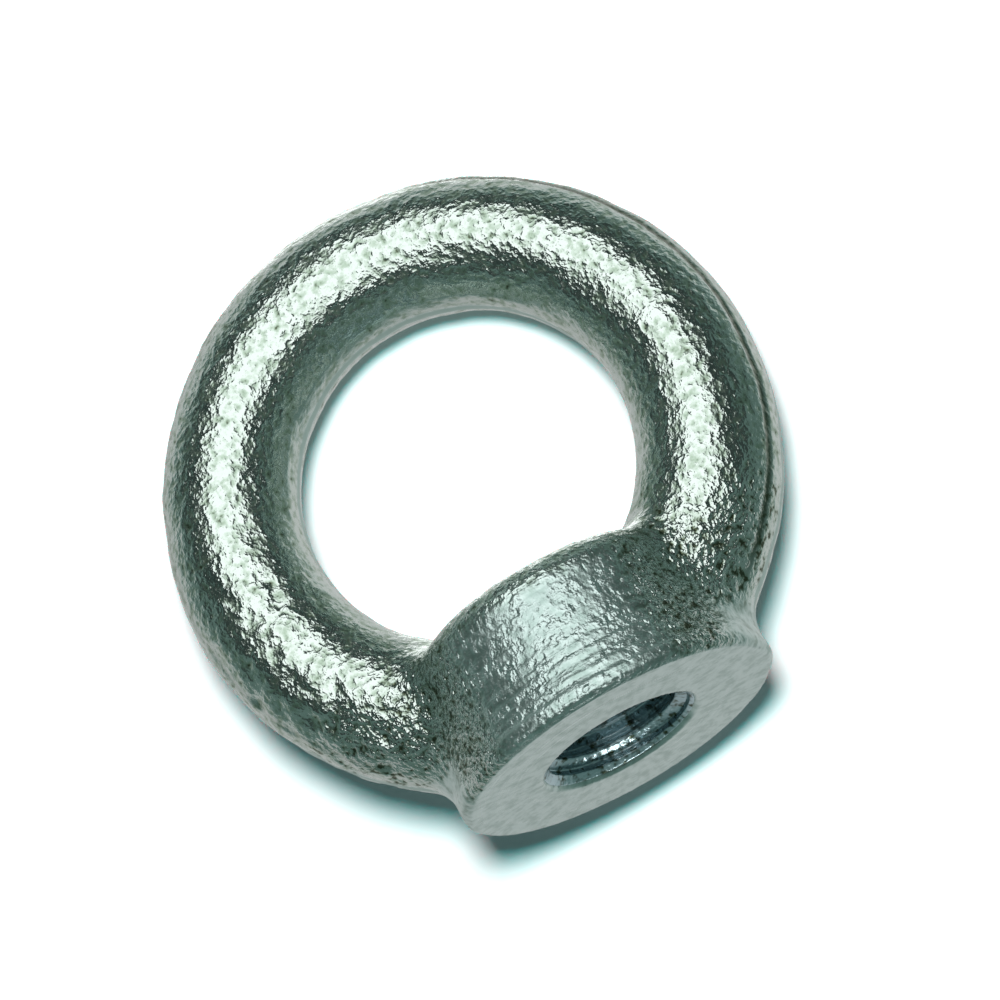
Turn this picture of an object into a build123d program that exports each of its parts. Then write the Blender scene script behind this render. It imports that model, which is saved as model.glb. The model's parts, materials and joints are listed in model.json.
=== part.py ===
from build123d import *
from math import cos, radians, sin
import os

# Lifting eye nut, forged in one piece and then turned, bored and tapped.
# Millimetres. The seat lies on z = 0 with its centre on the origin, the thread runs
# along Z, and the ring stands in the XZ plane above the seat.

# ---- Thread: a plain bore at the minor diameter, countersunk at both ends ----------
thread_major = 16.0
thread_pitch = 2.0
bore_radius = (thread_major - 1.0825 * thread_pitch) / 2
countersink_radius = 8.7
top_countersink_radius = 8.1

# ---- Turned hub: seat, rim, side and shoulder --------------------------------------
collar_radius = 17.2
rim_chamfer = 0.5
collar_height = 1.6
shoulder_radius = 15.7
shoulder_round = 3.4
hub_height = 16.3

# ---- Forged ring: round section that swells from the crown to the roots, with a
# ---- trimmed land outside and inside ------------------------------------------------
ring_radius = 24.4
ring_dip_below_hub = 9.1
ring_height = hub_height - ring_dip_below_hub + ring_radius
section_radius = 7.15
section_swell = 0.45
outer_land_half_width = 2.6
inner_land_half_width = 2.4
section_count = 13
first_turn = 10

# ---- Forged blend where the ring runs into the hub ----------------------------------
blend_radius = 4.5
outer_trim_corner = 5.0
collar_trim_clearance = 1.0
eye_trim_corner = 6.0
eye_trim_clearance = 0.4


def section_reach(half_width):
    """Distance from the section centre to a flat land of this half width."""
    return (section_radius**2 - half_width**2) ** 0.5


def section_plane(turn):
    """Plane across the ring at this turn in degrees, counted from straight down."""
    out = Vector(sin(radians(turn)), 0, -cos(radians(turn)))
    along = Vector(cos(radians(turn)), 0, sin(radians(turn)))
    return Plane(origin=Vector(0, 0, ring_height) + out * ring_radius, x_dir=out, z_dir=along)


trimmed_outer_radius = ring_radius + section_reach(outer_land_half_width)
trimmed_eye_radius = ring_radius - section_reach(inner_land_half_width)


def on_the_junction(edge):
    """True for an edge of the line where the ring's surface enters the hub."""
    box = edge.bounding_box()
    leaves_the_plane = box.size.Y > 0.2 and box.size.Z > 0.2
    return leaves_the_plane and abs(edge.center().X) > bore_radius


with BuildPart() as eye_nut:
    # Hub: one turned profile about Z.
    with BuildSketch(Plane.YZ):
        with BuildLine():
            Polyline(
                (0, 0),
                (collar_radius - rim_chamfer, 0),
                (collar_radius, rim_chamfer),
                (collar_radius, collar_height),
            )
            Spline(
                (collar_radius, collar_height),
                (shoulder_radius, hub_height - shoulder_round),
                tangents=((-0.32, 1), (-0.05, 1)),
            )
            CenterArc(
                (shoulder_radius - shoulder_round, hub_height - shoulder_round),
                shoulder_round,
                0,
                90,
            )
            Polyline((shoulder_radius - shoulder_round, hub_height), (0, hub_height), (0, 0))
        make_face()
    revolve(axis=Axis.Z)

    # Ring: round sections taken round the eye from root to root, then blended into the hub.
    for step in range(section_count):
        turn = first_turn + (360 - 2 * first_turn) * step / (section_count - 1)
        with BuildSketch(section_plane(turn)):
            Circle(section_radius + section_swell * cos(radians(turn)))
    loft()
    junction = [e for e in edges() if on_the_junction(e)]
    fillet(junction, blend_radius)

    # Trim outside: the flash is sheared off along the outline of the forging, which
    # leaves the outer land on the ring, and the seat is faced off at z = 0.
    with BuildSketch(Plane.XZ):
        with Locations((0, ring_height - section_swell)):
            Circle(trimmed_outer_radius)
        Rectangle(
            2 * (collar_radius + collar_trim_clearance),
            hub_height,
            align=(Align.CENTER, Align.MIN),
        )
        neck_corners = [v for v in vertices() if 1 < v.Y < hub_height - 1]
        fillet(neck_corners, outer_trim_corner)
    extrude(amount=2 * collar_radius, both=True, mode=Mode.INTERSECT)

    # Trim inside: the web of the eye is punched out, which leaves the inner land.
    with BuildSketch(Plane.XZ):
        with Locations((0, ring_height + section_swell)):
            Circle(trimmed_eye_radius)
        with Locations((0, hub_height + eye_trim_clearance)):
            Rectangle(
                4 * ring_radius,
                4 * ring_radius,
                align=(Align.CENTER, Align.MIN),
                mode=Mode.INTERSECT,
            )
        fillet(vertices().sort_by(Axis.Y)[:2], eye_trim_corner)
    extrude(amount=2 * section_radius, both=True, mode=Mode.SUBTRACT)

    # Bore with its countersinks.
    with BuildSketch(Plane.XZ):
        with BuildLine():
            Polyline(
                (0, 0),
                (countersink_radius, 0),
                (bore_radius, countersink_radius - bore_radius),
                (bore_radius, hub_height - top_countersink_radius + bore_radius),
                (top_countersink_radius, hub_height),
                (top_countersink_radius, hub_height + 1),
                (0, hub_height + 1),
                (0, 0),
            )
        make_face()
    revolve(axis=Axis.Z, mode=Mode.SUBTRACT)

eye_nut.part.label = "eye_nut"

os.makedirs("parts", exist_ok=True)
export_step(eye_nut.part, "parts/eye_nut.step")
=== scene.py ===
"""Looks of a forged lifting eye nut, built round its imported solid, in metres and in the part's frame."""

import json
import logging
import math
from dataclasses import dataclass
from enum import Enum
from typing import Any

import bmesh
import bpy
import numpy as np
from mathutils import Matrix, Vector
from mathutils.bvhtree import BVHTree


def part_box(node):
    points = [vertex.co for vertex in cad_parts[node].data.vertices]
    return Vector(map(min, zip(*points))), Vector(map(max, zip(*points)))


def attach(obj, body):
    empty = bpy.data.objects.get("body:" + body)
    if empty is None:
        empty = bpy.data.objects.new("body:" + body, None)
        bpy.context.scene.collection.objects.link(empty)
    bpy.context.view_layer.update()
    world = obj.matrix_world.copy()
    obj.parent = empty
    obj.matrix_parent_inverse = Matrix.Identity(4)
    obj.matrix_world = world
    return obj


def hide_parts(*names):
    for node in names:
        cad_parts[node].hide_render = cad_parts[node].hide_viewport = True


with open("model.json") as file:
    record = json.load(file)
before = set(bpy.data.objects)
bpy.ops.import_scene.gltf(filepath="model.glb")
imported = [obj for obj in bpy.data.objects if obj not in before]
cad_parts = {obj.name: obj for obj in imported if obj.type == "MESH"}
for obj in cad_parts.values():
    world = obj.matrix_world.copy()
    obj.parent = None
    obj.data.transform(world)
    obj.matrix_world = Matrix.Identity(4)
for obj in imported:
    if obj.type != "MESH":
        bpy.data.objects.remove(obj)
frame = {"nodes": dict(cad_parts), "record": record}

LOG = logging.getLogger("eye_nut_scene")
MM = 0.001
NODE = "eye_nut"
BODY = "root"
RELIEF_SEED = 7.0
JOIN_DISTANCE = 0.0005 * MM

Colour = tuple[float, float, float]


class Zone(Enum):
    """How a patch of the nut's skin was made; the tapped bore and the crease also carry painted shade in the
    colour. The value names the mesh attribute that marks it.
    """

    TURNED = "turned"
    SHEARED = "sheared"
    FACED = "faced"
    TAPPED_AND_SHADED = "tapped_and_shaded"
    CREASE = "crease"


class Bench:
    """Writes a node tree: adds nodes, links them and chains sums of fields."""

    def __init__(self, tree: bpy.types.NodeTree) -> None:
        """Takes the tree to write.

        Args:
            tree: the tree that gets the nodes.
        """
        self.tree = tree

    def add(self, kind: str, **settings: Any) -> bpy.types.Node:
        """Adds a node and sets its properties.

        Args:
            kind: the node's type name.
            settings: properties of the node.

        Returns:
            The new node.
        """
        node = self.tree.nodes.new(kind)
        for name, value in settings.items():
            setattr(node, name, value)
        return node

    def put(self, value: Any, socket: bpy.types.NodeSocket) -> None:
        """Links an output to a socket, or sets the socket's value.

        Args:
            value: an output socket, or a plain value.
            socket: the input that takes it.
        """
        if isinstance(value, bpy.types.NodeSocket):
            self.tree.links.new(value, socket)
        else:
            socket.default_value = value

    def math(self, operation: str, *values: Any) -> bpy.types.NodeSocket:
        """One Math node.

        Args:
            operation: its operation.
            values: its inputs in order.

        Returns:
            The result.
        """
        node = self.add("ShaderNodeMath", operation=operation)
        for value, socket in zip(values, node.inputs):
            self.put(value, socket)
        return node.outputs[0]

    def total(self, *values: Any) -> bpy.types.NodeSocket:
        """Adds up several values.

        Args:
            values: the fields or numbers to add.

        Returns:
            Their sum.
        """
        result = values[0]
        for value in values[1:]:
            result = self.math("ADD", result, value)
        return result

    def product(self, *values: Any) -> bpy.types.NodeSocket:
        """Multiplies several values.

        Args:
            values: the fields or numbers to multiply.

        Returns:
            Their product.
        """
        result = values[0]
        for value in values[1:]:
            result = self.math("MULTIPLY", result, value)
        return result

    def ramp(
        self,
        value: Any,
        low: Any,
        high: Any,
        to_low: float = 0.0,
        to_high: float = 1.0,
        straight: bool = False,
    ) -> bpy.types.NodeSocket:
        """Maps a range onto another, clamped at both ends.

        Args:
            value: the field to map.
            low: where it starts.
            high: where it ends.
            to_low: the result at the start.
            to_high: the result at the end.
            straight: whether the map is linear and not smooth at its ends.

        Returns:
            The mapped field.
        """
        node = self.add("ShaderNodeMapRange", interpolation_type="LINEAR" if straight else "SMOOTHSTEP")
        for socket, given in zip(node.inputs, (value, low, high, to_low, to_high)):
            self.put(given, socket)
        return node.outputs[0]

    def vector(self, x: Any, y: Any, z: Any) -> bpy.types.NodeSocket:
        """Three fields as one vector.

        Args:
            x: first part.
            y: second part.
            z: third part.

        Returns:
            The vector.
        """
        node = self.add("ShaderNodeCombineXYZ")
        for value, socket in zip((x, y, z), node.inputs):
            self.put(value, socket)
        return node.outputs[0]

    def split(self, vector: Any) -> tuple[bpy.types.NodeSocket, ...]:
        """The three parts of a vector.

        Args:
            vector: the vector field.

        Returns:
            Its x, y and z.
        """
        node = self.add("ShaderNodeSeparateXYZ")
        self.put(vector, node.inputs[0])
        return tuple(node.outputs)

    def scaled(self, vector: Any, factor: Any) -> bpy.types.NodeSocket:
        """A vector times a number.

        Args:
            vector: the vector field.
            factor: the number or field.

        Returns:
            The scaled vector.
        """
        node = self.add("ShaderNodeVectorMath", operation="SCALE")
        self.put(vector, node.inputs[0])
        self.put(factor, node.inputs["Scale"])
        return node.outputs[0]

    def cloud(
        self, vector: Any, grain: float, detail: float = 2.0, roughness: float = 0.5
    ) -> bpy.types.NodeSocket:
        """Soft noise with grains of a stated size, centred on zero.

        Args:
            vector: where to sample it.
            grain: size of one grain, in the vector's unit.
            detail: octaves of finer grain.
            roughness: weight of the finer grain.

        Returns:
            The noise, about -0.5 to 0.5.
        """
        node = self.add("ShaderNodeTexNoise")
        self.put(vector, node.inputs["Vector"])
        node.inputs["Scale"].default_value = 1.0 / grain
        node.inputs["Detail"].default_value = detail
        node.inputs["Roughness"].default_value = roughness
        return self.math("SUBTRACT", node.outputs[0], 0.5)


class GeometryTree:
    """A Geometry Nodes tree with named inputs, and its result as a plain mesh."""

    def __init__(self, name: str) -> None:
        """Starts an empty tree with a geometry input and output.

        Args:
            name: the tree's name.
        """
        self.group = bpy.data.node_groups.new(name, "GeometryNodeTree")
        self.group.interface.new_socket(name="Geometry", in_out="OUTPUT", socket_type="NodeSocketGeometry")
        self.group.interface.new_socket(name="Geometry", in_out="INPUT", socket_type="NodeSocketGeometry")
        self.bench = Bench(self.group)
        self.source = self.bench.add("NodeGroupInput")
        self.values: dict[str, float] = {}

    def size(self, name: str, value: float) -> bpy.types.NodeSocket:
        """Adds a named input to the tree.

        Args:
            name: what the size is.
            value: its value, set on the modifier.

        Returns:
            The field that carries it.
        """
        item = self.group.interface.new_socket(name=name, in_out="INPUT", socket_type="NodeSocketFloat")
        self.values[item.identifier] = value
        return self.source.outputs[name]

    def close(self, geometry: bpy.types.NodeSocket, material: bpy.types.Material) -> None:
        """Ends the tree: instances made real, smooth faces and a material.

        Args:
            geometry: what the tree made.
            material: the finish of the whole piece.
        """
        tail = geometry
        for kind in ("RealizeInstances", "SetShadeSmooth", "SetMaterial"):
            node = self.bench.add(f"GeometryNode{kind}")
            self.bench.put(tail, node.inputs["Geometry"])
            tail = node.outputs[0]
        node.inputs["Material"].default_value = material
        output = self.bench.add("NodeGroupOutput")
        self.bench.put(tail, output.inputs[0])

    def run(self, name: str, mesh: bpy.types.Mesh) -> bpy.types.Object:
        """Runs the tree on a mesh and keeps the result as a plain object.

        Args:
            name: the new object's name.
            mesh: the mesh that the tree starts from.

        Returns:
            An object with the finished mesh and no modifier.
        """
        holder = bpy.data.objects.new(name, mesh)
        bpy.context.scene.collection.objects.link(holder)
        modifier = holder.modifiers.new(self.group.name, "NODES")
        modifier.node_group = self.group
        for identifier, value in self.values.items():
            modifier[identifier] = value
        result = settled_mesh(holder)
        holder.modifiers.clear()
        holder.data = result
        result.name = name
        return holder


def settled_mesh(holder: bpy.types.Object) -> bpy.types.Mesh:
    """The mesh of an object after its modifiers, as plain data.

    Args:
        holder: the object with live modifiers.

    Returns:
        A new mesh.
    """
    depsgraph = bpy.context.evaluated_depsgraph_get()
    depsgraph.update()
    return bpy.data.meshes.new_from_object(
        holder.evaluated_get(depsgraph), preserve_all_data_layers=True, depsgraph=depsgraph
    )


def shown(name: str, work: bmesh.types.BMesh) -> bpy.types.Object:
    """Puts a finished bmesh in the scene as an object and frees it.

    Args:
        name: the object's name.
        work: the bmesh.

    Returns:
        The object.
    """
    mesh = bpy.data.meshes.new(name)
    work.to_mesh(mesh)
    work.free()
    holder = bpy.data.objects.new(name, mesh)
    bpy.context.scene.collection.objects.link(holder)
    return holder


def set_values(mesh: bpy.types.Mesh, name: str, values: np.ndarray) -> None:
    """Writes one number per vertex into a mesh attribute.

    Args:
        mesh: the mesh to mark.
        name: the attribute's name.
        values: a number for each vertex.
    """
    layer = mesh.attributes.new(name, "FLOAT", "POINT")
    layer.data.foreach_set("value", np.ascontiguousarray(values, np.float32))


def points_of(mesh: bpy.types.Mesh) -> np.ndarray:
    """The places of a mesh's vertices.

    Args:
        mesh: the mesh.

    Returns:
        One row of three numbers for each vertex.
    """
    places = np.empty(len(mesh.vertices) * 3, np.float32)
    mesh.vertices.foreach_get("co", places)
    return places.reshape(-1, 3).astype(float)


def eased(values: np.ndarray, start: float, end: float) -> np.ndarray:
    """Rises smoothly from zero at the start to one at the end.

    Args:
        values: what to map.
        start: where it is zero.
        end: where it is one, above or below the start.

    Returns:
        Numbers from zero to one.
    """
    share = np.clip((values - start) / (end - start), 0.0, 1.0)
    return share * share * (3 - 2 * share)


class SmoothSkin:
    """The faceted surface of a solid, rounded between its true edges by the normals at its corners."""

    sharp_angle = math.radians(15)
    roundness = 0.75
    least_area = 1e-30
    least_length = 1e-9

    def __init__(self, mesh: bpy.types.Mesh) -> None:
        """Splits the mesh into triangles and reads their corners.

        Args:
            mesh: the faceted surface.
        """
        work = bmesh.new()
        work.from_mesh(mesh)
        bmesh.ops.triangulate(work, faces=work.faces)
        self.tree = BVHTree.FromBMesh(work)
        work.to_mesh(mesh)
        work.free()
        mesh.polygons.foreach_set("use_smooth", np.ones(len(mesh.polygons), bool))
        mesh.set_sharp_from_angle(angle=self.sharp_angle)
        at = np.empty(len(mesh.loops), np.int32)
        mesh.loops.foreach_get("vertex_index", at)
        self.corners = points_of(mesh)[at].reshape(-1, 3, 3)
        normals = np.empty(len(mesh.loops) * 3, np.float32)
        mesh.corner_normals.foreach_get("vector", normals)
        self.normals = normals.reshape(-1, 3, 3).astype(float)

    def nearest(self, places: np.ndarray) -> tuple[np.ndarray, np.ndarray]:
        """Puts points on the rounded surface.

        Args:
            places: where they are.

        Returns:
            The points on the surface, and its normal at each.
        """
        found = [self.tree.find_nearest(Vector(place)) for place in places]
        foot = np.array([hit[0] for hit in found])
        face = np.array([hit[2] for hit in found])
        a, b, c = (self.corners[face, corner] for corner in range(3))
        whole = np.cross(b - a, c - a)
        area = np.maximum(np.einsum("ij,ij->i", whole, whole), self.least_area)
        shares = [
            np.einsum("ij,ij->i", np.cross(q - p, foot - p), whole) / area
            for p, q in ((b, c), (c, a), (a, b))
        ]
        rounded = np.zeros_like(foot)
        normal = np.zeros_like(foot)
        for corner, share in enumerate(shares):
            axis = self.normals[face, corner]
            lift = np.einsum("ij,ij->i", foot - self.corners[face, corner], axis)
            rounded += share[:, None] * (foot - lift[:, None] * axis)
            normal += share[:, None] * axis
        normal /= np.maximum(np.linalg.norm(normal, axis=1), self.least_length)[:, None]
        return (1.0 - self.roundness) * foot + self.roundness * rounded, normal


@dataclass(frozen=True)
class NutSizes:
    """Sizes of the nut in metres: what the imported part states, then its thread and the thread's sleeve."""

    collar_radius: float
    ring_outer_radius: float
    ring_height: float
    minor_radius: float
    wall_low: float
    wall_high: float
    hub_height: float
    major_radius: float = 8.0 * MM
    pitch: float = 2.0 * MM
    sleeve_radius: float = 8.3 * MM

    @classmethod
    def from_frame(cls) -> "NutSizes":
        """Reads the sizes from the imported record, the part's box and a ray down on the top of the hub.

        Returns:
            The sizes.
        """
        mesh = frame["nodes"][NODE].data
        surface = BVHTree.FromPolygons(
            [vertex.co for vertex in mesh.vertices], [tuple(face.vertices) for face in mesh.polygons]
        )
        low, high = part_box(NODE)
        mounts = {mount["name"]: mount for mount in frame["record"]["mounts"]}
        thread = mounts["thread"]
        half_wall = thread["dims"]["length_mm"] * MM / 2
        outer = (high.x - low.x) / 2
        ring_height = high.z - outer
        beside_bore = Vector((thread["dims"]["r_mm"] * MM * 1.4, 0.0, ring_height))
        hub_top = surface.ray_cast(beside_bore, Vector((0, 0, -1)))[0]
        return cls(
            collar_radius=(high.y - low.y) / 2,
            ring_outer_radius=outer,
            ring_height=ring_height,
            minor_radius=thread["dims"]["r_mm"] * MM,
            wall_low=thread["pos_m"][2] - half_wall,
            wall_high=thread["pos_m"][2] + half_wall,
            hub_height=hub_top.z,
        )

    @property
    def mouth_radius(self) -> float:
        """Radius of the lower countersink at the seat, whose side stands at 45 degrees."""
        return self.minor_radius + self.wall_low

    @property
    def top_mouth_radius(self) -> float:
        """Radius of the upper countersink at the top of the hub."""
        return self.minor_radius + self.hub_height - self.wall_high


@dataclass(frozen=True)
class NutFinish:
    """Bright plating over blasted forged steel, with turned, faced, sheared and tapped parts told apart, and
    painted shade in the tapped bore and along the crease.
    """

    bright: Colour = (0.61, 0.695, 0.65)
    dull: Colour = (0.38, 0.49, 0.39)
    # Near-black for pits and the bore's mottles, and as painted shade along the crease.
    pit_and_shade: Colour = (0.08, 0.10, 0.06)
    worked: Colour = (0.61, 0.74, 0.71)
    stained: Colour = (0.42, 0.55, 0.51)
    edge: Colour = (0.40, 0.55, 0.50)
    # Painted shade: the bore's darker bluish colour, partly the thread's own unplated tone and partly the
    # shade inside the hole.
    shaded: Colour = (0.52, 0.67, 0.71)
    blast_grain: float = 0.76 * MM
    blast_depth: float = 0.23 * MM
    patch_grain: float = 1.6 * MM
    battered_top: float = 18.0 * MM
    battered_full: float = 10.8 * MM
    battered_gain: float = 2.4
    battered_pits: float = 0.16
    land_edge: float = 2.2 * MM
    land_fade: float = 5.6 * MM
    # Painted shade: how dark the colour is painted along the parting crease.
    crease_painted_shade: float = 0.85
    machined_roughness: float = 0.30
    turning_pitch: float = 0.55 * MM
    turning_depth: float = 0.06 * MM
    turning_drift: float = 0.10 * MM

    def colour(self, bench: Bench, factor: Any, low: Any, high: Any) -> bpy.types.NodeSocket:
        """Mixes two colours.

        Args:
            bench: the material's bench.
            factor: share of the second colour.
            low: the first colour.
            high: the second colour.

        Returns:
            The mixed colour.
        """
        node = bench.add("ShaderNodeMix", data_type="RGBA")
        bench.put(factor, node.inputs[0])
        for value, socket in ((low, node.inputs[6]), (high, node.inputs[7])):
            bench.put((*value, 1.0) if isinstance(value, tuple) else value, socket)
        return node.outputs[2]

    def build(self) -> bpy.types.Material:
        """Makes the material.

        Returns:
            The node material.
        """
        material = bpy.data.materials.new("plated_forged_steel")
        material.use_nodes = True
        material.node_tree.nodes.clear()
        bench = Bench(material.node_tree)
        place = bench.add("ShaderNodeTexCoord").outputs["Object"]
        x, y, z = bench.split(place)
        turned, sheared, faced, tapped_and_shaded, crease = (
            bench.add("ShaderNodeAttribute", attribute_name=zone.value).outputs["Fac"] for zone in Zone
        )
        worked = bench.math("MINIMUM", bench.total(turned, sheared, faced), 1.0)
        forged = bench.math("SUBTRACT", 1.0, worked)

        blast = bench.cloud(place, self.blast_grain, 2.0, 0.50)
        patches = bench.cloud(place, self.patch_grain, 2.0, 0.6)

        radius = bench.math("SQRT", bench.total(bench.product(x, x), bench.product(y, y)))
        angle = bench.math("ARCTAN2", y, x)
        along = bench.math("SUBTRACT", z, bench.product(radius, faced))
        track = bench.vector(along, bench.product(angle, self.turning_drift), 0.0)
        turning = bench.cloud(track, self.turning_pitch, 3.0, 0.6)

        marred = bench.total(
            forged,
            bench.product(turned, bench.ramp(patches, -0.10, 0.12, 0.16, 0.75)),
            bench.product(tapped_and_shaded, 0.25),
        )
        beyond_land = bench.ramp(bench.math("ABSOLUTE", y), self.land_edge, self.land_fade, 0.30, 1.0)
        depth = bench.product(bench.ramp(marred, 0.0, 1.0, 0.05, 1.0, straight=True), beyond_land)
        battered = bench.ramp(z, self.battered_top, self.battered_full, 1.0, self.battered_gain)
        skin = bench.product(blast, self.blast_depth, battered, depth)
        cut = bench.product(turning, self.turning_depth, bench.total(turned, bench.product(faced, 0.12)))
        bump = bench.add("ShaderNodeBump")
        bump.inputs["Strength"].default_value = 1.0
        bump.inputs["Distance"].default_value = 1.0
        bench.put(bench.total(skin, cut), bump.inputs["Height"])

        speckle = bench.total(bench.product(blast, 1.3), bench.product(patches, 0.6))
        forged_colour = self.colour(bench, bench.ramp(speckle, -0.28, 0.12), self.dull, self.bright)
        worked_tone = bench.ramp(bench.total(patches, bench.product(blast, 0.6)), -0.25, 0.15)
        worked_colour = self.colour(bench, worked_tone, self.stained, self.worked)
        edged_colour = self.colour(bench, bench.ramp(sheared, 0.86, 1.0), worked_colour, self.edge)
        body_colour = self.colour(bench, worked, forged_colour, edged_colour)
        low_down = bench.ramp(z, self.battered_top, self.battered_full, 0.0, self.battered_pits)
        pits = bench.product(bench.ramp(bench.math("SUBTRACT", speckle, low_down), -0.22, -0.42), forged)
        pitted = self.colour(bench, pits, body_colour, self.pit_and_shade)
        # Painted shade inside the bore: the tapped mark swaps in the darker bore colour, with random dark
        # mottles.
        bore_colour = self.colour(bench, bench.ramp(blast, -0.22, 0.02), self.pit_and_shade, self.shaded)
        # Painted shade: the crease mark darkens the colour along the fold.
        crease_shaded_colour = self.colour(bench, bench.product(crease, self.crease_painted_shade), pitted, self.pit_and_shade)
        colour = self.colour(bench, tapped_and_shaded, crease_shaded_colour, bore_colour)
        machined_rough = bench.total(
            self.machined_roughness,
            bench.product(turning, 0.2),
            bench.product(turned, 0.08),
            bench.product(sheared, 0.08),
        )
        rough = bench.total(
            bench.product(forged, bench.ramp(speckle, -0.3, 0.2, 0.34, 0.17)),
            bench.product(worked, machined_rough),
        )

        shader = bench.add("ShaderNodeBsdfPrincipled")
        shader.inputs["Metallic"].default_value = 1.0
        bench.put(colour, shader.inputs["Base Color"])
        bench.put(rough, shader.inputs["Roughness"])
        bench.put(bump.outputs[0], shader.inputs["Normal"])
        output = bench.add("ShaderNodeOutputMaterial")
        bench.put(shader.outputs[0], output.inputs[0])
        return material


@dataclass
class ForgedBody:
    """Ring, blend and hub: the solid's surface with the relief of forging, blasting and turning."""

    sizes: NutSizes
    mesh_step: float = 0.35 * MM
    wobble: float = 0.45 * MM
    wobble_grain: float = 11.0 * MM
    hammer: float = 0.36 * MM
    hammer_grain: float = 4.5 * MM
    pebble: float = 0.16 * MM
    pebble_grain: float = 1.15 * MM
    groove_pitch: float = 1.05 * MM
    groove_depth: float = 0.19 * MM
    groove_top: float = 5.0 * MM
    groove_drift_grain: float = 2.4 * MM
    crease_place: float = 3.4 * MM
    crease_width: float = 0.55 * MM
    crease_depth: float = 0.12 * MM
    crease_inset: float = 4.0 * MM
    crease_inset_full: float = 2.5 * MM
    dent: float = 0.9 * MM
    dent_grain: float = 2.4 * MM
    dent_cap: float = 0.06
    neck_top: float = 6.5 * MM
    neck_full: float = 4.0 * MM
    face_band: float = 0.1 * MM
    upright: tuple[float, float] = (0.10, 0.04)

    def closed_copy(self) -> bpy.types.Object:
        """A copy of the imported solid's mesh with its loose triangles joined and the thread's room cut out.

        Returns:
            A temporary object with the cut as its modifier.
        """
        work = bmesh.new()
        work.from_mesh(frame["nodes"][NODE].data)
        bmesh.ops.remove_doubles(work, verts=work.verts, dist=JOIN_DISTANCE)
        holder = shown("closed_copy", work)
        cutter = self.cutter()
        cut = holder.modifiers.new("room", "BOOLEAN")
        cut.operation = "DIFFERENCE"
        cut.solver = "EXACT"
        cut.object = cutter
        return holder

    def cutter(self) -> bpy.types.Object:
        """The plain cylinder whose room the threaded sleeve fills.

        Returns:
            A temporary object.
        """
        work = bmesh.new()
        bmesh.ops.create_cone(
            work,
            cap_ends=True,
            segments=192,
            radius1=self.sizes.sleeve_radius,
            radius2=self.sizes.sleeve_radius,
            depth=2 * self.sizes.hub_height,
            matrix=Matrix.Translation((0, 0, self.sizes.hub_height / 2)),
        )
        holder = shown("cutter", work)
        holder.hide_render = True
        return holder

    def even_mesh(self) -> bpy.types.Mesh:
        """The solid's surface as an even net, each point put back on the true surface.

        Returns:
            The mesh.
        """
        holder = self.closed_copy()
        skin = SmoothSkin(settled_mesh(holder))
        remesh = holder.modifiers.new("net", "REMESH")
        remesh.mode = "VOXEL"
        remesh.voxel_size = self.mesh_step
        net = settled_mesh(holder)
        places, normals = skin.nearest(points_of(net))
        net.vertices.foreach_set("co", np.ascontiguousarray(places, np.float32).ravel())
        net.update()
        self.mark_zones(net, places, normals)
        for temporary in (bpy.data.objects["cutter"], holder):
            bpy.data.objects.remove(temporary)
        return net

    def mark_zones(self, net: bpy.types.Mesh, places: np.ndarray, normals: np.ndarray) -> None:
        """Marks which points lie on turned, faced and sheared surfaces, from the skin's smooth normals.

        Args:
            net: the even mesh.
            places: its points.
            normals: the skin's normal at each point.
        """
        x, y, z = places.T
        hub = self.sizes.hub_height
        radius = np.maximum(np.hypot(x, y), MM)
        across = np.abs(normals[:, 0] * -y + normals[:, 1] * x) / radius
        below_top = z < hub + self.face_band
        low = z < 0.5 * self.face_band
        in_bore = radius < self.sizes.mouth_radius + self.face_band
        faced = ((low | in_bore) & below_top).astype(float)
        flank = eased(np.abs(y) / radius, 0.72, 0.90) * eased(z, hub - 1.5 * MM, hub - 5.0 * MM)
        turned = eased(across, *self.upright) * below_top * (1 - faced) * flank
        neck = eased(np.abs(x), 0.78 * self.sizes.collar_radius, 0.92 * self.sizes.collar_radius)
        neck = neck * eased(z, self.neck_top, self.neck_full)
        land = eased(np.abs(normals[:, 1]), *self.upright)
        sheared = np.maximum(land, 0.85 * neck) * (1 - faced) * (1 - turned)
        for zone, marks in ((Zone.TURNED, turned), (Zone.SHEARED, sheared), (Zone.FACED, faced)):
            set_values(net, zone.value, marks)
            LOG.info("zone %s: %.0f points", zone.value, marks.sum())
        set_values(net, Zone.TAPPED_AND_SHADED.value, np.zeros(len(places)))

    def relief(self, material: bpy.types.Material) -> GeometryTree:
        """The tree that gives the skin its relief.

        Args:
            material: the nut's finish.

        Returns:
            The tree.
        """
        tree = GeometryTree("forging_relief")
        bench = tree.bench
        wobble = tree.size("Wobble", self.wobble)
        hammer = tree.size("Hammer marks", self.hammer)
        pebble = tree.size("Pebble", self.pebble)
        groove = tree.size("Groove depth", self.groove_depth)
        dent = tree.size("Dent depth", self.dent)
        pitch = tree.size("Groove pitch", self.groove_pitch)
        groove_top = tree.size("Groove top", self.groove_top)
        crease_depth = tree.size("Crease depth", self.crease_depth)
        seed = tree.size("Seed", RELIEF_SEED)
        place = bench.add("GeometryNodeInputPosition").outputs[0]
        normal = bench.add("GeometryNodeInputNormal").outputs[0]
        x, y, z = bench.split(place)
        shift = bench.add("ShaderNodeVectorMath", operation="ADD")
        bench.put(place, shift.inputs[0])
        bench.put(bench.vector(seed, 0.0, 0.0), shift.inputs[1])
        where = shift.outputs[0]

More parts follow.
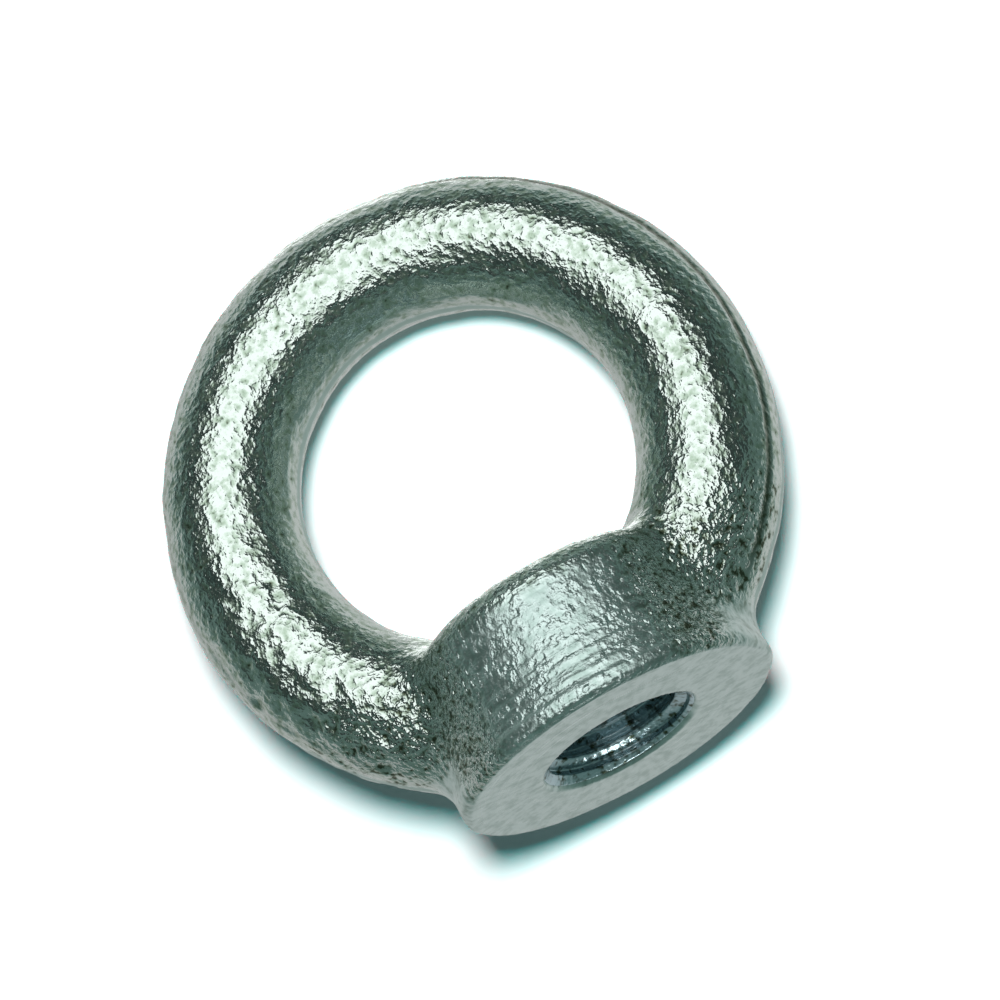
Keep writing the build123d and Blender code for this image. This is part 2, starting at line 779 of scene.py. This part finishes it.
        marks = {}
        for zone in (Zone.TURNED, Zone.SHEARED, Zone.FACED):
            node = bench.add("GeometryNodeInputNamedAttribute", data_type="FLOAT")
            node.inputs["Name"].default_value = zone.value
            blur = bench.add("GeometryNodeBlurAttribute", data_type="FLOAT")
            bench.put(node.outputs["Attribute"], blur.inputs["Value"])
            blur.inputs["Iterations"].default_value = 1
            marks[zone] = blur.outputs["Value"]
        machined = bench.math("MINIMUM", bench.total(marks[Zone.TURNED], marks[Zone.FACED]), 1.0)
        rough = bench.math("SUBTRACT", 1.0, machined)
        skin = bench.math("MAXIMUM", bench.math("SUBTRACT", rough, marks[Zone.SHEARED]), 0.0)
        above_hub = bench.ramp(z, self.sizes.hub_height * 0.3, self.sizes.hub_height * 1.4)

        slow = bench.product(bench.cloud(where, self.wobble_grain, 1.0), wobble, above_hub)
        beaten = bench.product(bench.cloud(where, self.hammer_grain, 1.5), hammer, rough)
        pebbled = bench.total(skin, bench.product(marks[Zone.TURNED], 0.4))
        blasted = bench.product(bench.cloud(where, self.pebble_grain, 3.0, 0.6), pebble, pebbled)
        drift_place = bench.vector(z, bench.product(x, 0.08), seed)
        unevenness = bench.cloud(drift_place, self.groove_drift_grain, 1.0)
        phase = bench.total(bench.math("DIVIDE", z, pitch), bench.product(unevenness, 2.0))
        wave = bench.math("SINE", bench.product(phase, math.pi))
        cut = bench.product(
            bench.math("SUBTRACT", bench.math("ABSOLUTE", wave), 0.6),
            groove,
            marks[Zone.TURNED],
            bench.ramp(bench.math("SUBTRACT", z, groove_top), 0.0, 3.0 * MM, 1.0, 0.30),
        )
        side = bench.total(bench.product(x, -1.0), bench.product(bench.math("ABSOLUTE", y), -0.3))
        beaten_side = bench.product(
            bench.ramp(side, self.sizes.collar_radius * 0.9, self.sizes.collar_radius * 1.15),
            bench.ramp(z, self.sizes.hub_height * 2.1, self.sizes.hub_height * 1.6),
        )
        depth = bench.math("MINIMUM", bench.cloud(where, self.dent_grain, 0.5), self.dent_cap)
        dents = bench.product(depth, dent, beaten_side, skin)
        height = bench.math("SUBTRACT", z, self.sizes.ring_height)
        reach = bench.math("SQRT", bench.total(bench.product(x, x), bench.product(height, height)))
        rim = self.sizes.ring_outer_radius
        outer = bench.ramp(reach, rim - self.crease_inset, rim - self.crease_inset_full)
        past_crease = bench.math("SUBTRACT", bench.math("ABSOLUTE", y), self.crease_place)
        off_crease = bench.math("ABSOLUTE", past_crease)
        crease = bench.product(
            bench.ramp(off_crease, self.crease_width, 0.3 * self.crease_width),
            outer,
            bench.ramp(z, self.groove_top, 2 * self.groove_top),
            bench.ramp(x, 0.0, self.sizes.collar_radius, 0.2, 1.0),
        )
        # Stores the crease mark, along which the material paints shade into the colour.
        marked = bench.add("GeometryNodeStoreNamedAttribute", data_type="FLOAT")
        bench.put(tree.source.outputs[0], marked.inputs["Geometry"])
        marked.inputs["Name"].default_value = Zone.CREASE.value
        bench.put(crease, marked.inputs["Value"])
        fold = bench.product(crease, crease_depth, -1.0)
        push = bench.add("GeometryNodeSetPosition")
        bench.put(marked.outputs[0], push.inputs["Geometry"])
        rise = bench.total(slow, beaten, blasted, cut, dents, fold)
        bench.put(bench.scaled(normal, rise), push.inputs["Offset"])
        tree.close(push.outputs[0], material)
        return tree

    def build(self, material: bpy.types.Material) -> bpy.types.Object:
        """Makes the forged body.

        Args:
            material: the nut's finish.

        Returns:
            The finished piece.
        """
        return self.relief(material).run("forged_body", self.even_mesh())


@dataclass
class TappedBore:
    """The thread in the hub: one helix from countersink to countersink, as a sleeve set in the body."""

    sizes: NutSizes
    hidden_wall: float = 0.5 * MM
    steps_round: int = 180
    rows: int = 190
    crest_flat: float = 0.125
    root_flat: float = 0.25
    start_phase: float = 0.6
    least_cone: float = 0.02 * MM
    # Painted shade in the bore fades in above this lip and fades out over this run below the top.
    painted_shade_start: float = 0.8 * MM
    painted_shade_top_fade: float = 2.5 * MM

    def tree(self, material: bpy.types.Material) -> GeometryTree:
        """The tree that bends a flat grid into the threaded sleeve.

        Args:
            material: the nut's finish.

        Returns:
            The tree.
        """
        sizes = self.sizes
        tree = GeometryTree("tapped_bore")
        bench = tree.bench
        minor = tree.size("Minor radius", sizes.minor_radius)
        major = tree.size("Major radius", sizes.major_radius)
        pitch = tree.size("Pitch", sizes.pitch)
        height = tree.size("Hub height", sizes.hub_height)
        mouth = tree.size("Lower mouth radius", sizes.mouth_radius)
        top_mouth = tree.size("Upper mouth radius", sizes.top_mouth_radius)
        sleeve = tree.size("Sleeve radius", sizes.sleeve_radius)
        start = tree.size("Start phase", self.start_phase)

        grid = bench.add("GeometryNodeMeshGrid")
        grid.inputs["Size X"].default_value = 1.0
        grid.inputs["Size Y"].default_value = 1.0
        grid.inputs["Vertices X"].default_value = self.steps_round + 1
        grid.inputs["Vertices Y"].default_value = self.rows + 4
        place = bench.add("GeometryNodeInputPosition").outputs[0]
        u, v, _ = bench.split(place)
        turn = bench.total(u, 0.5)
        row = bench.product(bench.total(v, 0.5), float(self.rows + 3))
        inner_share = bench.math("MINIMUM", bench.math("DIVIDE", row, float(self.rows)), 1.0)
        outside = bench.math("GREATER_THAN", row, self.rows + 0.5)
        last = bench.math("GREATER_THAN", row, self.rows + 2.5)
        back = bench.math("GREATER_THAN", row, self.rows + 1.5)

        mouth_depth = bench.math("SUBTRACT", mouth, minor)
        low = bench.math("SUBTRACT", mouth, sleeve)
        top_cone = bench.math("MAXIMUM", bench.math("SUBTRACT", top_mouth, sleeve), self.least_cone)
        high = bench.math("SUBTRACT", height, top_cone)
        span = bench.math("SUBTRACT", high, low)
        z_inner = bench.total(low, bench.product(span, inner_share))
        z = bench.math("MULTIPLY_ADD", bench.product(back, span), -1.0, z_inner)

        climbed = bench.total(bench.math("DIVIDE", z, pitch), start)
        phase = bench.math("FRACT", bench.math("SUBTRACT", climbed, turn))
        fold = bench.product(bench.math("ABSOLUTE", bench.math("SUBTRACT", phase, 0.5)), 2.0)
        depth = bench.ramp(fold, self.crest_flat, 1.0 - self.root_flat, straight=True)
        thread = bench.total(minor, bench.product(bench.math("SUBTRACT", major, minor), depth))
        lower_cone = bench.math("SUBTRACT", mouth, z)
        upper_cone = bench.math("SUBTRACT", top_mouth, bench.math("SUBTRACT", height, z))
        bore = bench.math("MAXIMUM", thread, bench.math("MAXIMUM", lower_cone, upper_cone))
        bore = bench.math("MINIMUM", bore, sleeve)
        hidden = bench.total(sleeve, self.hidden_wall)
        wall = bench.math("SUBTRACT", outside, last)
        radius = bench.total(
            bench.product(bore, bench.math("SUBTRACT", 1.0, wall)),
            bench.product(hidden, wall),
        )
        angle = bench.product(turn, 2 * math.pi)
        spot = bench.vector(
            bench.product(radius, bench.math("COSINE", angle)),
            bench.product(radius, bench.math("SINE", angle)),
            z,
        )
        push = bench.add("GeometryNodeSetPosition")
        bench.put(grid.outputs[0], push.inputs["Geometry"])
        bench.put(spot, push.inputs["Position"])
        merge = bench.add("GeometryNodeMergeByDistance")
        bench.put(push.outputs[0], merge.inputs["Geometry"])
        merge.inputs["Distance"].default_value = JOIN_DISTANCE
        flip = bench.add("GeometryNodeFlipFaces")
        bench.put(merge.outputs[0], flip.inputs[0])
        # The tapped mark also sets where the material paints shade inside the hole, clear of both mouths.
        tapped_and_shaded_share = bench.product(
            bench.ramp(z, self.painted_shade_start, mouth_depth),
            bench.ramp(z, height, bench.total(height, -self.painted_shade_top_fade)),
        )
        marked = flip.outputs[0]
        for zone, value in ((Zone.FACED, 1.0), (Zone.TAPPED_AND_SHADED, tapped_and_shaded_share)):
            mark = bench.add("GeometryNodeStoreNamedAttribute", data_type="FLOAT")
            bench.put(marked, mark.inputs["Geometry"])
            mark.inputs["Name"].default_value = zone.value
            bench.put(value, mark.inputs["Value"])
            marked = mark.outputs[0]
        tree.close(marked, material)
        return tree

    def build(self, material: bpy.types.Material) -> bpy.types.Object:
        """Makes the threaded sleeve.

        Args:
            material: the nut's finish.

        Returns:
            The finished piece.
        """
        start = bpy.data.meshes.new("tapped_bore_start")
        return self.tree(material).run("tapped_bore", start)


@dataclass(frozen=True)
class Lens:
    """The camera: where it stands round the nut, how it is turned and how long its lens is."""

    azimuth: float = math.radians(3.57)
    elevation: float = math.radians(-19.26)
    roll: float = math.radians(-30.08)
    distance: float = 600.0 * MM
    aim_height: float = 31.7 * MM
    slide_right: float = 3.13 * MM
    slide_up: float = -2.25 * MM
    focal: float = 217.0
    sensor: float = 36.0

    def axes(self) -> tuple[Vector, Vector, Vector]:
        """The camera's right, up and back directions.

        Returns:
            Three unit vectors.
        """
        back = Vector((
            math.sin(self.azimuth) * math.cos(self.elevation),
            -math.cos(self.azimuth) * math.cos(self.elevation),
            math.sin(self.elevation),
        ))
        level = Vector((math.cos(self.azimuth), math.sin(self.azimuth), 0.0))
        upright = back.cross(level)
        right = level * math.cos(self.roll) + upright * math.sin(self.roll)
        up = upright * math.cos(self.roll) - level * math.sin(self.roll)
        return right, up, back

    def spot(self) -> Vector:
        """Where the camera stands.

        Returns:
            Its place in metres.
        """
        right, up, back = self.axes()
        aim = Vector((0, 0, self.aim_height)) + right * self.slide_right + up * self.slide_up
        return aim + back * self.distance

    def build(self) -> None:
        """Makes the camera and sets it as the scene's."""
        right, up, back = self.axes()
        data = bpy.data.cameras.new("view_camera")
        data.sensor_width = self.sensor
        data.lens = self.focal
        data.clip_start = 0.01
        data.clip_end = 20.0
        holder = bpy.data.objects.new("view_camera", data)
        bpy.context.scene.collection.objects.link(holder)
        turn = Matrix((right, up, back)).transposed().to_4x4()
        holder.matrix_world = Matrix.Translation(self.spot()) @ turn
        bpy.context.scene.camera = holder


@dataclass
class Studio:
    """A pale sheet behind the nut, a pale floor under it, soft light and a plain room."""

    sizes: NutSizes
    lens: Lens
    lamp_distance: float = 0.40
    key_reach: float = 0.33
    key_width: float = 0.24
    key_tilt: float = math.radians(29)
    key_side: float = math.radians(123)
    key_power: float = 1.18
    rear_reach: float = 0.12
    rear_width: float = 0.09
    rear_tilt: float = math.radians(155)
    rear_side: float = math.radians(110)
    rear_power: float = 0.10
    glint_toward: tuple[float, float, float] = (0.0, 0.24, -0.971)
    glint_size: float = 0.06
    glint_power: float = 0.19
    cast_shift: float = 80.0 * MM
    cast_spread: float = 10.0 * MM
    cast_spread_radius: float = 0.2
    cast_side: float = math.radians(114)
    cast_radius: float = 43.0 * MM
    cast_power: float = 19.5
    sheet_size: float = 0.17
    sheet_gap: float = 12.0 * MM
    sheet_turn: float = math.radians(7)
    sheet_tint: Colour = (0.95, 0.97, 0.97)
    sheet_shade: Colour = (0.013, 0.042, 0.046)
    floor_size: float = 2.0
    floor_drop: float = 0.05 * MM
    floor_tint: Colour = (0.92, 0.92, 0.92)
    floor_shade: Colour = (0.23, 0.25, 0.25)
    floor_lamp_toward: tuple[float, float, float] = (0.0, -0.28, 0.96)
    floor_lamp_angle: float = math.radians(25)
    floor_lamp_power: float = 3.2
    room_side: float = 0.19
    room_round_key: float = 0.045
    room_behind: float = 0.60
    room_rise: float = 0.30
    room_rise_side: float = math.radians(70)
    room_matt: float = 0.01
    room_tint: Colour = (0.66, 1.0, 0.92)
    pale_edge: tuple[float, float] = (0.15, 0.60)
    dark_edge: tuple[float, float] = (0.28, 0.48)

    def one_sided(self, name: str, tint: Colour, shade: Colour) -> bpy.types.Material:
        """A pale matt surface that is clear from its back.

        Args:
            name: the material's name.
            tint: its colour.
            shade: what it shows without any lamp.

        Returns:
            The material.
        """
        material = bpy.data.materials.new(name)
        material.use_nodes = True
        material.node_tree.nodes.clear()
        bench = Bench(material.node_tree)
        matt = bench.add("ShaderNodeBsdfDiffuse")
        matt.inputs["Color"].default_value = (*tint, 1.0)
        shine = bench.add("ShaderNodeEmission")
        shine.inputs["Color"].default_value = (*shade, 1.0)
        shine.inputs["Strength"].default_value = 1.0
        both = bench.add("ShaderNodeAddShader")
        bench.put(matt.outputs[0], both.inputs[0])
        bench.put(shine.outputs[0], both.inputs[1])
        clear = bench.add("ShaderNodeBsdfTransparent")
        side = bench.add("ShaderNodeNewGeometry").outputs["Backfacing"]
        mix = bench.add("ShaderNodeMixShader")
        bench.put(side, mix.inputs[0])
        bench.put(both.outputs[0], mix.inputs[1])
        bench.put(clear.outputs[0], mix.inputs[2])
        output = bench.add("ShaderNodeOutputMaterial")
        bench.put(mix.outputs[0], output.inputs[0])
        return material

    def plane(
        self, name: str, size: float, spot: Vector, normal: Vector, material: bpy.types.Material
    ) -> bpy.types.Object:
        """A square stage plane that only the camera sees.

        Args:
            name: the object's name.
            size: its side.
            spot: its middle.
            normal: the way its pale side faces.
            material: its material.

        Returns:
            The plane.
        """
        work = bmesh.new()
        turn = normal.to_track_quat("Z", "Y").to_matrix().to_4x4()
        bmesh.ops.create_grid(
            work, x_segments=1, y_segments=1, size=size / 2, matrix=Matrix.Translation(spot) @ turn
        )
        holder = shown(name, work)
        holder.data.materials.append(material)
        for ray in ("diffuse", "glossy", "transmission", "shadow", "volume_scatter"):
            setattr(holder, f"visible_{ray}", False)
        return holder

    def axes(self, tilt: float, side: float) -> tuple[Vector, Vector]:
        """A direction tilted off the camera's, and the way of its tilt square to it.

        Args:
            tilt: angle off the camera's direction.
            side: which way it tilts, counted from the camera's right towards its up.

        Returns:
            Two unit vectors.
        """
        right, up, back = self.lens.axes()
        lean = right * math.cos(side) + up * math.sin(side)
        toward = back * math.cos(tilt) + lean * math.sin(tilt)
        return toward, lean * math.cos(tilt) - back * math.sin(tilt)

    def lamp(
        self, name: str, kind: str, toward: Vector, long_way: Vector, receivers: list[bpy.types.Object]
    ) -> bpy.types.Object:
        """A lamp that shines on the nut or on the stage.

        Args:
            name: the lamp's name.
            kind: its type.
            toward: from the nut to the lamp.
            long_way: the way of its longer side, square to the first.
            receivers: the objects that it lights.

        Returns:
            The lamp object.
        """
        data = bpy.data.lights.new(name, kind)
        holder = bpy.data.objects.new(name, data)
        bpy.context.scene.collection.objects.link(holder)
        middle = Vector((0, 0, self.sizes.ring_height))
        turn = Matrix((long_way, toward.cross(long_way), toward)).transposed().to_4x4()
        holder.matrix_world = Matrix.Translation(middle + toward * self.lamp_distance) @ turn
        lit = bpy.data.collections.new(f"lit_by_{name}")
        for receiver in receivers:
            lit.objects.link(receiver)
        holder.light_linking.receiver_collection = lit
        return holder

    def room(self) -> None:
        """The world: white to the camera, and to all else a plain room with a pale side behind the nut."""
        world = bpy.data.worlds.new("room")
        world.use_nodes = True
        world.node_tree.nodes.clear()
        bench = Bench(world.node_tree)
        toward = bench.add("ShaderNodeTexCoord").outputs["Generated"]
        ways = ((math.pi, 0.0), (math.pi / 2, self.room_rise_side), (self.key_tilt, self.key_side))
        shares = []
        for tilt, side in ways:
            node = bench.add("ShaderNodeVectorMath", operation="DOT_PRODUCT")
            bench.put(toward, node.inputs[0])
            node.inputs[1].default_value = self.axes(tilt, side)[0]
            shares.append(node.outputs["Value"])
        behind, rise, keyward = shares
        pale = bench.ramp(behind, *self.pale_edge)
        dark = bench.ramp(keyward, *self.dark_edge)
        graded = bench.total(1.0, bench.product(rise, self.room_rise))
        level = bench.total(
            self.room_side,
            bench.product(pale, graded, self.room_behind - self.room_side),
            bench.product(dark, self.room_round_key - self.room_side),
        )
        rays = bench.add("ShaderNodeLightPath").outputs
        camera, matt = rays["Is Camera Ray"], rays["Is Diffuse Ray"]
        gloss = bench.math("SUBTRACT", 1.0, bench.math("MAXIMUM", camera, matt))
        strength = bench.total(bench.product(level, gloss), bench.product(matt, self.room_matt), camera)
        white = bench.math("MAXIMUM", camera, bench.product(pale, gloss))
        shades = [bench.total(part, bench.product(white, 1.0 - part)) for part in self.room_tint]
        shine = bench.add("ShaderNodeBackground")
        bench.put(bench.vector(*shades), shine.inputs["Color"])
        bench.put(strength, shine.inputs["Strength"])
        output = bench.add("ShaderNodeOutputWorld")
        bench.put(shine.outputs[0], output.inputs[0])
        bpy.context.scene.world = world

    def backdrop(self) -> bpy.types.Object:
        """The pale sheet that stands close behind the nut and catches its shadow.

        Returns:
            The sheet.
        """
        flat = math.cos(self.lens.elevation)
        facing = Vector((
            -math.sin(self.sheet_turn) * flat,
            -math.cos(self.sheet_turn) * flat,
            math.sin(self.lens.elevation),
        ))
        behind_seat = Vector((0.0, self.sizes.collar_radius + self.sheet_gap, 0.0))
        along = Vector((0.0, facing.z, flat))
        return self.plane(
            "backdrop_sheet",
            self.sheet_size,
            behind_seat + along * self.sizes.ring_height,
            facing,
            self.one_sided("backdrop_pale", self.sheet_tint, self.sheet_shade),
        )

    def ground(self) -> bpy.types.Object:
        """The pale floor under the nut.

        Returns:
            The floor.
        """
        return self.plane(
            "floor",
            self.floor_size,
            Vector((0.0, 0.0, -self.floor_drop)),
            Vector((0, 0, 1)),
            self.one_sided("floor_pale", self.floor_tint, self.floor_shade),
        )

    def softbox(
        self,
        name: str,
        direction: tuple[float, float],
        size: tuple[float, float],
        power: float,
        receivers: list[bpy.types.Object],
    ) -> None:
        """An oval lamp with a soft reflection.

        Args:
            name: the lamp's name.
            direction: its tilt off the camera's direction, and which way it tilts.
            size: half of its length and half of its width.
            power: its power.
            receivers: the objects that it lights.
        """
        box = self.lamp(name, "AREA", *self.axes(*direction), receivers)
        box.data.shape = "ELLIPSE"
        box.data.size = 2 * size[0]
        box.data.size_y = 2 * size[1]
        box.data.energy = power

    def cast(self, name: str, tint: Colour, spread: float, sheet: bpy.types.Object) -> None:
        """A lamp beside the camera that only throws the nut's shadow on the sheet.

        Args:
            name: the lamp's name.
            tint: its colour.
            spread: how much further from the camera it stands than the nearest one.
            sheet: what it lights.
        """
        right, up, _ = self.lens.axes()
        aside = right * math.cos(self.cast_side) + up * math.sin(self.cast_side)
        lamp = self.lamp(name, "POINT", *self.axes(0.0, 0.0), [sheet])
        lamp.matrix_world = Matrix.Translation(self.lens.spot() + aside * (self.cast_shift + spread))
        lamp.data.color = tint
        lamp.data.energy = self.cast_power
        lamp.data.shadow_soft_size = self.cast_radius + self.cast_spread_radius * spread

    def build(self, pieces: list[bpy.types.Object]) -> None:
        """Sets up the camera, the stage, the lamps and the world.

        Args:
            pieces: the nut's own pieces, with the threaded sleeve last.
        """
        self.lens.build()
        sheet = self.backdrop()
        floor = self.ground()
        level = Vector((1.0, 0.0, 0.0))
        key_size = (self.key_reach, self.key_width)
        self.softbox("key_softbox", (self.key_tilt, self.key_side), key_size, self.key_power, pieces)
        self.cast("sheet_lamp", (0.0, 1.0, 1.0), 0.0, sheet)
        self.cast("sheet_red_lamp", (1.0, 0.0, 0.0), self.cast_spread, sheet)
        glint = self.lamp("bore_lamp", "AREA", Vector(self.glint_toward), level, pieces[-1:])
        glint.data.shape = "DISK"
        glint.data.size = self.glint_size
        glint.data.energy = self.glint_power
        rear_size = (self.rear_reach, self.rear_width)
        self.softbox("rear_softbox", (self.rear_tilt, self.rear_side), rear_size, self.rear_power, pieces)
        top = self.lamp("floor_lamp", "SUN", Vector(self.floor_lamp_toward), level, [floor])
        top.data.energy = self.floor_lamp_power
        top.data.angle = self.floor_lamp_angle
        self.room()
        bpy.context.scene.view_settings.view_transform = "Standard"


def main() -> None:
    """Builds the nut, its stage and its camera."""
    logging.basicConfig(level=logging.INFO, format="%(name)s: %(message)s")
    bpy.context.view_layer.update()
    sizes = NutSizes.from_frame()
    LOG.info("sizes: %s", sizes)
    finish = NutFinish().build()
    pieces = [ForgedBody(sizes).build(finish), TappedBore(sizes).build(finish)]
    for piece in pieces:
        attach(piece, BODY)
        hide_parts(NODE)
        LOG.info("piece %s: %d faces", piece.name, len(piece.data.polygons))
    Studio(sizes, Lens()).build(pieces)


if __name__ == "__main__":
    main()
